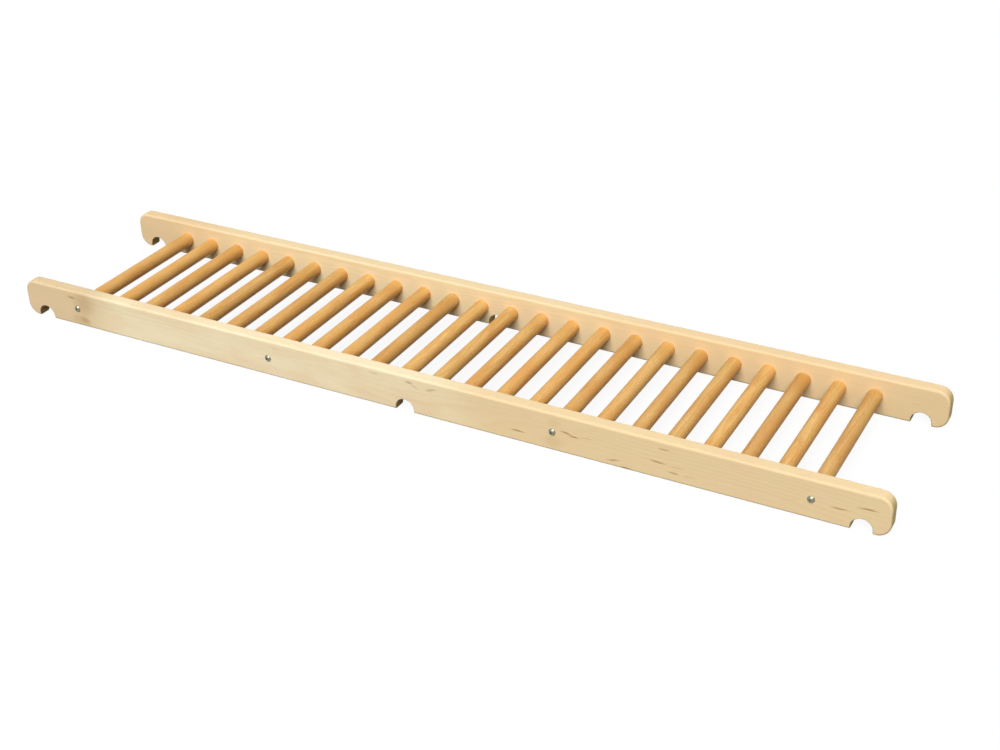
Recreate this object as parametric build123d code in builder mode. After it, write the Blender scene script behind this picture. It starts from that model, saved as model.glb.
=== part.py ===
from build123d import *
import os

# Wooden climbing ladder for children, lying flat on the bottom edges of its two side rails.
# X runs along the rails, Y from the front rail to the back rail, Z is up.
# The origin is at the middle of the ladder, on the surface that it lies on. Millimetres.

# Rungs
rung_count = 24
rung_pitch = 70
rung_diameter = 30
rung_end_bevel = 1.5
rung_seat_depth = 20

# Side rails
rail_spacing = 352
rail_height = 80
rail_thickness = 28
rail_overhang = 140
rail_corner_radius = 26
rail_edge_radius = 5

# Notches in the rails' bottom edges, which hook over round bars
notch_width = 39
notch_wall_height = 6.5
notch_edge_radius = 2
notch_to_rail_end = 50

# Screws through the rails into the end grain of some of the rungs
rungs_between_screws = 7
screw_diameter = 6
screw_length = 60
screw_tip_length = 6
screw_head_diameter = 14
screw_head_height = 4.4
screw_head_rim = 0.8
screw_socket_width = 5
screw_socket_depth = 2.6

# Clearances
seat_clearance = 0.1
seat_end_gap = 0.4
screw_clearance = 0.1

# Sizes that follow from those above
rail_length = (rung_count - 1) * rung_pitch + 2 * rail_overhang
outer_width = rail_spacing + 2 * rail_thickness
rung_height = rail_height / 2
rung_length = rail_spacing + 2 * (rung_seat_depth - seat_end_gap)
rung_positions = [(index - (rung_count - 1) / 2) * rung_pitch for index in range(rung_count)]
middle_notch = rung_positions[rung_count // 2 - 1] + rung_pitch / 2
end_notch = rail_length / 2 - notch_to_rail_end
notch_positions = [-end_notch, middle_notch, end_notch]
screwed_rungs = [
    0,
    rungs_between_screws,
    rung_count - 1 - rungs_between_screws,
    rung_count - 1,
]
screw_hole_radius = screw_diameter / 2 + screw_clearance
screw_depth_in_rung = screw_length - (rail_thickness - rung_seat_depth) - seat_end_gap


def save(piece, name):
    piece.part.label = name
    export_step(piece.part, f"parts/{name}.step")


def build_rung(index):
    front_end = Plane(
        origin=(rung_positions[index], -rung_length / 2, rung_height),
        x_dir=(1, 0, 0),
        z_dir=(0, 1, 0),
    )
    with BuildPart() as rung:
        with BuildSketch(front_end):
            Circle(rung_diameter / 2)
        extrude(amount=rung_length)
        chamfer(rung.edges().filter_by(GeomType.CIRCLE), rung_end_bevel)
        if index in screwed_rungs:
            with Locations(*rung.faces().filter_by(Axis.Y)):
                Hole(screw_hole_radius, depth=screw_depth_in_rung + screw_clearance)
    return rung


def build_screw(index, side):
    """A button-head screw; side is -1 on the front rail and 1 on the back rail."""
    seat = Plane(
        origin=(rung_positions[index], side * outer_width / 2, rung_height),
        x_dir=(1, 0, 0),
        z_dir=(0, 0, -side),
    )
    head_top = Plane(
        origin=seat.origin - seat.y_dir * screw_head_height,
        x_dir=seat.x_dir,
        z_dir=-seat.y_dir,
    )
    head_radius = screw_head_diameter / 2
    shank_radius = screw_diameter / 2
    with BuildPart() as screw:
        with BuildSketch(seat):
            with BuildLine():
                crown = (0, -screw_head_height)
                rim = (head_radius, -screw_head_rim)
                Line((0, screw_length), crown)
                TangentArc(crown, rim, tangent=(1, 0))
                Polyline(
                    rim,
                    (head_radius, 0),
                    (shank_radius, 0),
                    (shank_radius, screw_length - screw_tip_length),
                    (0, screw_length),
                )
            make_face()
        revolve(axis=Axis(seat.origin, seat.y_dir))
        with BuildSketch(head_top):
            RegularPolygon(screw_socket_width / 2, side_count=6, major_radius=False)
        extrude(amount=-screw_socket_depth, mode=Mode.SUBTRACT)
    return screw


os.makedirs("parts", exist_ok=True)

with BuildPart() as side_rail_front:
    inner_face = Plane.XZ.offset(rail_spacing / 2)
    with BuildSketch(inner_face):
        with Locations((0, rail_height / 2)):
            RectangleRounded(rail_length, rail_height, rail_corner_radius)
    extrude(amount=rail_thickness)
    fillet(side_rail_front.faces().filter_by(Axis.Y).edges(), rail_edge_radius)

    # Each notch is a half round above two short straight walls, and is open at the bottom
    with BuildSketch(inner_face):
        with Locations(*[(x, 0) for x in notch_positions]):
            Rectangle(notch_width, 2 * notch_wall_height)
        with Locations(*[(x, notch_wall_height) for x in notch_positions]):
            Circle(notch_width / 2)
    extrude(amount=rail_thickness, mode=Mode.SUBTRACT)
    notch_edges = side_rail_front.edges(Select.LAST)
    half_round_seams = notch_edges.filter_by(Axis.Y).group_by(Axis.Z)[-1]
    fillet(notch_edges - half_round_seams, notch_edge_radius)

    # Blind seats for the rungs, and through holes for the screws behind some of them
    with BuildSketch(inner_face):
        with Locations(*[(x, rung_height) for x in rung_positions]):
            Circle(rung_diameter / 2 + seat_clearance)
    extrude(amount=rung_seat_depth, mode=Mode.SUBTRACT)
    with BuildSketch(inner_face):
        with Locations(*[(rung_positions[index], rung_height) for index in screwed_rungs]):
            Circle(screw_hole_radius)
    extrude(amount=rail_thickness, mode=Mode.SUBTRACT)
save(side_rail_front, "side_rail_front")

with BuildPart() as side_rail_back:
    mirror(side_rail_front.part, about=Plane.XZ)
save(side_rail_back, "side_rail_back")

for index in range(rung_count):
    save(build_rung(index), f"rung_{index + 1:02d}")

for index in screwed_rungs:
    save(build_screw(index, -1), f"screw_front_{index + 1:02d}")
    save(build_screw(index, 1), f"screw_back_{index + 1:02d}")
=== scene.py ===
import math

import bpy
from mathutils import Euler, Matrix, Vector

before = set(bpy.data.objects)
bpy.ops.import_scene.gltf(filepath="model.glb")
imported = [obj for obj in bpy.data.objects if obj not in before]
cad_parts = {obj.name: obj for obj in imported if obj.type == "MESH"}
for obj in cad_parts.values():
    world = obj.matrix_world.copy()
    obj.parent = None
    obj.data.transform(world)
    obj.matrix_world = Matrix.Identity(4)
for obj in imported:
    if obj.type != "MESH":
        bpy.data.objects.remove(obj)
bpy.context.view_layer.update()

# Places on the ladder, in metres, as its parts have them
rung_pitch = 0.070
rung_height = 0.040
front_face = -0.204
end_notch = 0.895
notch_centre_height = 0.0065
notch_radius = 0.0195

# How much the wood grew in a year, in metres
rail_ring_width = 0.0042
rung_ring_width = 0.0030

# How far a brown mark reaches into the rail behind its face, in metres
mark_reach = 0.004

# The camera stands where the photograph was taken from
camera_place = (1.3981, -2.3912, 1.5794)
camera_azimuth = 28.517
camera_elevation = 30.145
camera_roll = 1.382
camera_lens = 56.8

# The floor, and the brightness that the world gives to what it lights
floor_size = 60
floor_drop = 0.0002
world_level = 0.19


def srgb(red, green, blue):
    """A colour given as it looks on screen, from 0 to 255, as the linear colour that a shader takes."""
    def linear(value):
        value /= 255
        return value / 12.92 if value <= 0.04045 else ((value + 0.055) / 1.055) ** 2.4
    return (linear(red), linear(green), linear(blue), 1)


class Nodes:
    """Builds one node tree. Each argument is a plain value or the output of another node."""

    def __init__(self, tree):
        self.tree = tree

    def plug(self, socket, value):
        if isinstance(value, bpy.types.NodeSocket):
            self.tree.links.new(value, socket)
        else:
            socket.default_value = value

    def node(self, kind, *values, **settings):
        node = self.tree.nodes.new(kind)
        for name, value in settings.items():
            setattr(node, name, value)
        for socket, value in zip(node.inputs, values):
            self.plug(socket, value)
        return node

    def math(self, operation, *values):
        return self.node("ShaderNodeMath", *values, operation=operation).outputs[0]

    def vector(self, operation, *values):
        return self.node("ShaderNodeVectorMath", *values, operation=operation).outputs[0]

    def split(self, vector):
        return self.node("ShaderNodeSeparateXYZ", vector).outputs

    def join(self, x, y, z):
        return self.node("ShaderNodeCombineXYZ", x, y, z).outputs[0]

    def length(self, x, y, z):
        return self.node("ShaderNodeVectorMath", self.join(x, y, z), operation="LENGTH").outputs["Value"]

    def ramp(self, value, low, high, to_low=0.0, to_high=1.0):
        """Runs smoothly from to_low where value is low, to to_high where it is high."""
        node = self.node("ShaderNodeMapRange", interpolation_type="SMOOTHSTEP")
        for name, given in (
            ("Value", value),
            ("From Min", low),
            ("From Max", high),
            ("To Min", to_low),
            ("To Max", to_high),
        ):
            self.plug(node.inputs[name], given)
        return node.outputs["Result"]

    def noise(self, place, scale, detail=2.0, roughness=0.5):
        """Smooth noise from 0 to 1 whose grains have scale of them in a metre, along each axis."""
        node = self.node("ShaderNodeTexNoise")
        self.plug(node.inputs["Vector"], self.vector("MULTIPLY", place, scale))
        self.plug(node.inputs["Scale"], 1.0)
        self.plug(node.inputs["Detail"], detail)
        self.plug(node.inputs["Roughness"], roughness)
        return node.outputs["Fac"]

    def blend(self, factor, first, second):
        node = self.node("ShaderNodeMix", data_type="RGBA")
        self.plug(node.inputs[0], factor)
        self.plug(node.inputs[6], first)
        self.plug(node.inputs[7], second)
        return node.outputs[2]

    def bump(self, height, strength, distance):
        node = self.node("ShaderNodeBump")
        self.plug(node.inputs["Strength"], strength)
        self.plug(node.inputs["Distance"], distance)
        self.plug(node.inputs["Height"], height)
        return node.outputs["Normal"]


def new_material(name):
    material = bpy.data.materials.new(name)
    material.use_nodes = True
    nodes = Nodes(material.node_tree)
    place = nodes.node("ShaderNodeTexCoord").outputs["Object"]
    return material, nodes, place, material.node_tree.nodes["Principled BSDF"]


def growth_rings(nodes, distance, ring_width):
    """A soft band that darkens towards the end of each year's growth, and stops sharply there."""
    year = nodes.math("FRACT", nodes.math("DIVIDE", distance, ring_width))
    late = nodes.ramp(year, 0.30, 0.94)
    return nodes.math("MULTIPLY", late, nodes.ramp(year, 1.0, 0.95))


def rail_wood(name, seed, pith, slope, base, tones, marks=()):
    """
    Pale, fine wood with its grain along X. The pith is a line beside the board, at (y, z), that
    rises by slope along it. Each of the tones takes over from one x to another, and each of the
    marks is a brown mark on the front rail's outer face.
    """
    material, nodes, place, shader = new_material(name)
    x, y, z = nodes.split(place)
    grain = nodes.vector("ADD", place, (seed, 2.3 * seed, 4.1 * seed))

    sway = nodes.noise(grain, (1.7, 7, 7), 1)
    ripple = nodes.noise(grain, (11, 70, 70), 2)
    away_y = nodes.math("SUBTRACT", y, pith[0])
    away_z = nodes.math("SUBTRACT", nodes.math("MULTIPLY_ADD", x, -slope, z), pith[1])
    distance = nodes.math("MULTIPLY_ADD", sway, 0.030, nodes.length(away_y, away_z, 0))
    distance = nodes.math("MULTIPLY_ADD", ripple, 0.0034, distance)
    rings = growth_rings(nodes, distance, rail_ring_width)
    rings_show = nodes.ramp(nodes.noise(grain, (3, 24, 24), 2), 0.35, 0.70, 0.02, 0.17)

    broad = nodes.noise(grain, (4, 16, 16), 3)
    blush = nodes.noise(grain, (9, 13, 13), 2)
    fibre = nodes.noise(grain, (30, 900, 900), 3, 0.6)
    fleck = nodes.ramp(nodes.noise(grain, (140, 1300, 1300), 1), 0.62, 0.74)
    colour = base
    for start, end, tone in tones:
        shift = nodes.math("MULTIPLY_ADD", broad, 0.10, nodes.math("SUBTRACT", x, 0.05))
        colour = nodes.blend(nodes.ramp(shift, start, end), colour, tone)
    colour = nodes.blend(nodes.ramp(broad, 0.35, 0.70, 0.0, 0.45), colour, srgb(242, 213, 168))
    colour = nodes.blend(nodes.ramp(blush, 0.50, 0.75, 0.0, 0.38), colour, srgb(241, 206, 166))
    colour = nodes.blend(nodes.math("MULTIPLY", rings, rings_show), colour, srgb(219, 181, 128))
    colour = nodes.blend(nodes.ramp(fibre, 0.3, 0.7, 0.0, 0.16), colour, srgb(225, 191, 140))
    colour = nodes.blend(nodes.math("MULTIPLY", fleck, 0.16), colour, srgb(196, 152, 98))

    # Brown mineral streaks and stains: a few thin strays, and the marks
    stray_rows = nodes.ramp(nodes.noise(grain, (2.5, 9, 9), 1), 0.52, 0.70, 0, 0.6)
    brown = nodes.ramp(nodes.noise(grain, (13, 330, 330), 2), 0.68, 0.80)
    brown = nodes.math("MULTIPLY", brown, stray_rows)
    bend = nodes.noise(grain, (45, 45, 120), 1)
    bent_z = nodes.math("MULTIPLY_ADD", bend, 0.003, nodes.math("SUBTRACT", z, 0.0015))
    depth_in_rail = nodes.math("SUBTRACT", y, front_face)
    for mark in marks:
        along = nodes.math("SUBTRACT", x, mark["x"])
        across = nodes.math("SUBTRACT", bent_z, mark["z"])
        across = nodes.math("MULTIPLY_ADD", along, -mark["slope"], across)
        reach = nodes.length(
            nodes.math("DIVIDE", along, mark["length"] / 2),
            nodes.math("DIVIDE", depth_in_rail, mark_reach),
            nodes.math("DIVIDE", across, mark["width"] / 2),
        )
        brown = nodes.math("MAXIMUM", brown, nodes.ramp(reach, 1.0, 0.1, 0.0, mark["depth"]))
    colour = nodes.blend(brown, colour, srgb(160, 110, 38))

    # End grain is darker than the faces. The notches' cut walls also carry painted shade, which makes
    # them darker still
    facing_x = nodes.split(nodes.node("ShaderNodeTexCoord").outputs["Normal"])[0]
    end_grain = nodes.ramp(nodes.math("ABSOLUTE", facing_x), 0.6, 0.97, 0.0, 0.8)
    colour = nodes.blend(end_grain, colour, srgb(208, 184, 118))
    from_middle = nodes.math("ABSOLUTE", x)
    from_end_notch = nodes.math("ABSOLUTE", nodes.math("SUBTRACT", from_middle, end_notch))
    from_notch = nodes.length(
        nodes.math("MINIMUM", from_middle, from_end_notch),
        0,
        nodes.math("MAXIMUM", nodes.math("SUBTRACT", z, notch_centre_height), 0),
    )
    # Painted shade: a thin band along each notch's wall is darkened, standing in for the shade that
    # falls inside the notch
    notch_painted_shade = nodes.ramp(from_notch, notch_radius + 0.0017, notch_radius + 0.0003, 0.0, 0.85)
    colour = nodes.blend(notch_painted_shade, colour, srgb(156, 130, 66))

    shader.inputs["Specular IOR Level"].default_value = 0.10
    nodes.plug(shader.inputs["Base Color"], colour)
    nodes.plug(shader.inputs["Roughness"], nodes.ramp(fibre, 0.3, 0.7, 0.50, 0.62))
    height = nodes.math("MULTIPLY_ADD", rings, 0.35, fibre)
    nodes.plug(shader.inputs["Normal"], nodes.bump(height, 0.35, 0.00015))
    return material


def rung_wood(name):
    """Warmer wood with its grain along Y, cut from another plank for each rung."""
    material, nodes, place, shader = new_material(name)
    x, y, z = nodes.split(place)
    rung = nodes.math("FLOOR", nodes.math("DIVIDE", x, rung_pitch))
    chance = nodes.node("ShaderNodeTexWhiteNoise", noise_dimensions="1D")
    nodes.plug(chance.inputs["W"], rung)
    first, second, third = nodes.split(chance.outputs["Color"])
    from_axis = nodes.math("SUBTRACT", x, nodes.math("MULTIPLY_ADD", rung, rung_pitch, rung_pitch / 2))
    plank = nodes.vector("MULTIPLY_ADD", chance.outputs["Color"], (5, 5, 5), nodes.join(from_axis, y, z))

    turn = nodes.math("MULTIPLY", second, 2 * math.pi)
    pith_distance = nodes.math("MULTIPLY_ADD", third, 0.05, 0.03)
    pith_x = nodes.math("MULTIPLY", nodes.math("COSINE", turn), pith_distance)
    pith_z = nodes.math("MULTIPLY", nodes.math("SINE", turn), pith_distance)
    tilt = nodes.math("MULTIPLY_ADD", first, 0.05, -0.025)
    away_x = nodes.math("ADD", nodes.math("MULTIPLY_ADD", y, tilt, from_axis), pith_x)
    away_z = nodes.math("ADD", nodes.math("SUBTRACT", z, rung_height), pith_z)
    sway = nodes.noise(plank, (14, 4, 14), 1)
    ripple = nodes.noise(plank, (90, 18, 90), 2)
    distance = nodes.math("MULTIPLY_ADD", sway, 0.014, nodes.length(away_x, 0, away_z))
    distance = nodes.math("MULTIPLY_ADD", ripple, 0.0024, distance)
    rings = growth_rings(nodes, distance, rung_ring_width)

    broad = nodes.noise(plank, (45, 9, 45), 3)
    fibre = nodes.noise(plank, (1000, 36, 1000), 3, 0.6)
    fleck = nodes.ramp(nodes.noise(plank, (850, 190, 850), 1), 0.60, 0.70)
    colour = nodes.blend(nodes.ramp(broad, 0.34, 0.66), srgb(236, 192, 117), srgb(228, 172, 95))
    colour = nodes.blend(nodes.ramp(second, 0, 1, 0.0, 0.22), colour, srgb(227, 160, 88))
    colour = nodes.blend(nodes.math("MULTIPLY", rings, 0.30), colour, srgb(194, 134, 66))
    colour = nodes.blend(nodes.ramp(fibre, 0.3, 0.7, 0.0, 0.20), colour, srgb(198, 142, 74))
    colour = nodes.blend(nodes.math("MULTIPLY", fleck, 0.35), colour, srgb(154, 98, 44))
    shade = nodes.ramp(third, 0, 1, 0.94, 1.07)
    colour = nodes.vector("MULTIPLY", colour, nodes.join(shade, shade, shade))

    shader.inputs["Specular IOR Level"].default_value = 0.14
    nodes.plug(shader.inputs["Base Color"], colour)
    nodes.plug(shader.inputs["Roughness"], nodes.ramp(fibre, 0.3, 0.7, 0.46, 0.58))
    height = nodes.math("MULTIPLY_ADD", rings, 0.3, nodes.math("SUBTRACT", fibre, fleck))
    nodes.plug(shader.inputs["Normal"], nodes.bump(height, 0.35, 0.00015))
    return material


def screw_steel(name):
    """Zinc-plated steel, turned on a lathe, so that its marks run round the screw's axis."""
    material, nodes, place, shader = new_material(name)
    x, y, z = nodes.split(place)
    rung = nodes.math("FLOOR", nodes.math("DIVIDE", x, rung_pitch))
    from_axis = nodes.math("SUBTRACT", x, nodes.math("MULTIPLY_ADD", rung, rung_pitch, rung_pitch / 2))
    radius = nodes.length(from_axis, 0, nodes.math("SUBTRACT", z, rung_height))
    turned = nodes.noise(nodes.join(radius, nodes.math("MULTIPLY", y, 0.3), 0), (5200, 5200, 1), 2)
    cloud = nodes.noise(place, (420, 420, 420), 3)
    colour = nodes.blend(nodes.ramp(cloud, 0.3, 0.7), srgb(156, 156, 140), srgb(130, 130, 114))
    colour = nodes.blend(nodes.ramp(turned, 0.3, 0.7, 0.0, 0.3), colour, srgb(106, 105, 92))

    shader.inputs["Metallic"].default_value = 1
    nodes.plug(shader.inputs["Base Color"], colour)
    nodes.plug(shader.inputs["Roughness"], nodes.ramp(cloud, 0.3, 0.7, 0.24, 0.38))
    nodes.plug(shader.inputs["Normal"], nodes.bump(turned, 0.25, 0.00006))
    return material


def mark(x, z, length, slope, width=0.005, depth=0.8):
    """
    A brown streak or stain with its middle at (x, z), in metres. It rises by slope along the
    grain, and its depth is how strongly its middle shows, from 0 to 1.
    """
    return {"x": x, "z": z, "length": length, "slope": slope, "width": width, "depth": depth}


# Each tone is reached from the first x to the second
front_tones = [
    (0.00, 0.22, srgb(244, 219, 171)),
    (-0.68, -0.80, srgb(227, 204, 163)),
]
front_marks = [
    mark(-0.817, 0.064, 0.034, -0.03, width=0.010, depth=0.55),
    mark(-0.789, 0.016, 0.044, -0.15, width=0.028, depth=0.42),
    mark(-0.786, 0.055, 0.080, 0.0, width=0.090, depth=0.26),
    mark(-0.800, 0.014, 0.070, 0.0, width=0.040, depth=0.20),
    mark(-0.296, 0.066, 0.024, 0.0, depth=0.2),
    mark(-0.066, 0.069, 0.030, -0.05, depth=0.3),
    mark(0.012, 0.067, 0.026, -0.05, width=0.009, depth=0.5),
    mark(0.024, 0.061, 0.022, -0.35, depth=0.35),
    mark(0.060, 0.063, 0.034, 0.16, depth=0.5),
    mark(0.056, 0.059, 0.022, 0.12, width=0.004, depth=0.35),
    mark(0.245, 0.0235, 0.042, 0.0, width=0.006),
    mark(0.318, 0.020, 0.060, 0.0, width=0.040, depth=0.14),
    mark(0.318, 0.060, 0.040, 0.0, width=0.040, depth=0.09),
    mark(0.343, 0.0455, 0.036, -0.12, width=0.006, depth=0.7),
    mark(0.359, 0.0415, 0.030, -0.06),
    mark(0.384, 0.0445, 0.040, 0.05, depth=0.22),
    mark(0.437, 0.0135, 0.036, 0.17, depth=0.65),
    mark(0.462, 0.004, 0.036, 0.04),
    mark(0.524, 0.0345, 0.044, -0.06),
    mark(0.560, 0.0325, 0.060, 0.0, depth=0.22),
    mark(0.535, 0.064, 0.032, 0.0, depth=0.6),
    mark(0.554, 0.0195, 0.032, 0.0, depth=0.65),
    mark(0.582, 0.0195, 0.040, 0.0, depth=0.2),
    mark(0.855, 0.0355, 0.044, 0.03, depth=0.7),
    mark(0.903, 0.0485, 0.052, 0.02),
]
back_tones = [
    (0.10, 0.45, srgb(237, 209, 161)),
    (-0.60, -0.85, srgb(232, 203, 157)),
]
finishes = {
    "side_rail_front": rail_wood(
        "rail_wood_front",
        seed=3.7,
        pith=(-0.110, 0.010),
        slope=-0.012,
        base=srgb(253, 238, 201),
        tones=front_tones,
        marks=front_marks,
    ),
    "side_rail_back": rail_wood(
        "rail_wood_back",
        seed=8.2,
        pith=(0.270, 0.095),
        slope=0.010,
        base=srgb(240, 219, 176),
        tones=back_tones,
    ),
    "rung": rung_wood("rung_wood"),
    "screw": screw_steel("screw_steel"),
}
for name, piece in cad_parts.items():
    finish = finishes.get(name) or finishes[name.split("_")[0]]
    for slot in piece.material_slots:
        slot.material = finish


def seen_directly(nodes):
    """1 on rays from the camera or off a reflection, and 0 on the rays that light things."""
    path = nodes.node("ShaderNodeLightPath").outputs
    seen = nodes.math("MAXIMUM", path["Is Camera Ray"], path["Is Glossy Ray"])
    return nodes.math("MAXIMUM", seen, path["Is Transmission Ray"])


# The floor and the world are white where they are seen, and give a low, even light elsewhere
bpy.ops.mesh.primitive_plane_add(size=floor_size, location=(0, 0, -floor_drop))
floor = bpy.context.object
floor.name = "floor"
material = bpy.data.materials.new("floor")
material.use_nodes = True
nodes = Nodes(material.node_tree)
speckle = nodes.noise(nodes.node("ShaderNodeTexCoord").outputs["Object"], (9, 9, 9), 3)
in_bounce = nodes.node("ShaderNodeBsdfDiffuse", nodes.blend(speckle, srgb(80, 79, 76), srgb(90, 89, 86)))
shadowed = nodes.node("ShaderNodeBsdfDiffuse", (0.10, 0.10, 0.10, 1))
glow = nodes.node("ShaderNodeEmission", (1, 1, 1, 1), 0.91)
on_view = nodes.node("ShaderNodeAddShader", shadowed.outputs[0], glow.outputs[0])
both = nodes.node("ShaderNodeMixShader", seen_directly(nodes), in_bounce.outputs[0], on_view.outputs[0])
nodes.plug(material.node_tree.nodes["Material Output"].inputs["Surface"], both.outputs[0])
floor.data.materials.append(material)

world = bpy.data.worlds.new("studio")
bpy.context.scene.world = world
world.use_nodes = True
nodes = Nodes(world.node_tree)
strength = nodes.ramp(seen_directly(nodes), 0, 1, world_level, 1.0)
background = world.node_tree.nodes["Background"]
nodes.plug(background.inputs["Color"], (1, 1, 1, 1))
nodes.plug(background.inputs["Strength"], strength)


def soft_light(name, towards, level, softness):
    """A wide, far lamp. A white surface that faces it gets this level of brightness from it."""
    lamp = bpy.data.lights.new(name, "SUN")
    lamp.energy = math.pi * level
    lamp.angle = math.radians(softness)
    place = bpy.data.objects.new(name, lamp)
    place.rotation_euler = Vector(towards).to_track_quat("Z", "Y").to_euler()
    place.location = Vector(towards) * 3
    bpy.context.scene.collection.objects.link(place)


soft_light("key", (0.12, -0.68, 0.72), 1.04, 45)
soft_light("rim", (-0.05, 0.98, 0.17), 0.48, 40)

camera = bpy.data.objects.new("camera", bpy.data.cameras.new("camera"))
bpy.context.scene.collection.objects.link(camera)
camera.data.lens = camera_lens
level_view = Euler((math.radians(90 - camera_elevation), 0, math.radians(camera_azimuth))).to_matrix()
camera.rotation_euler = (level_view @ Matrix.Rotation(math.radians(-camera_roll), 3, "Z")).to_euler()
camera.location = camera_place
bpy.context.scene.camera = camera

bpy.context.scene.view_settings.view_transform = "Standard"
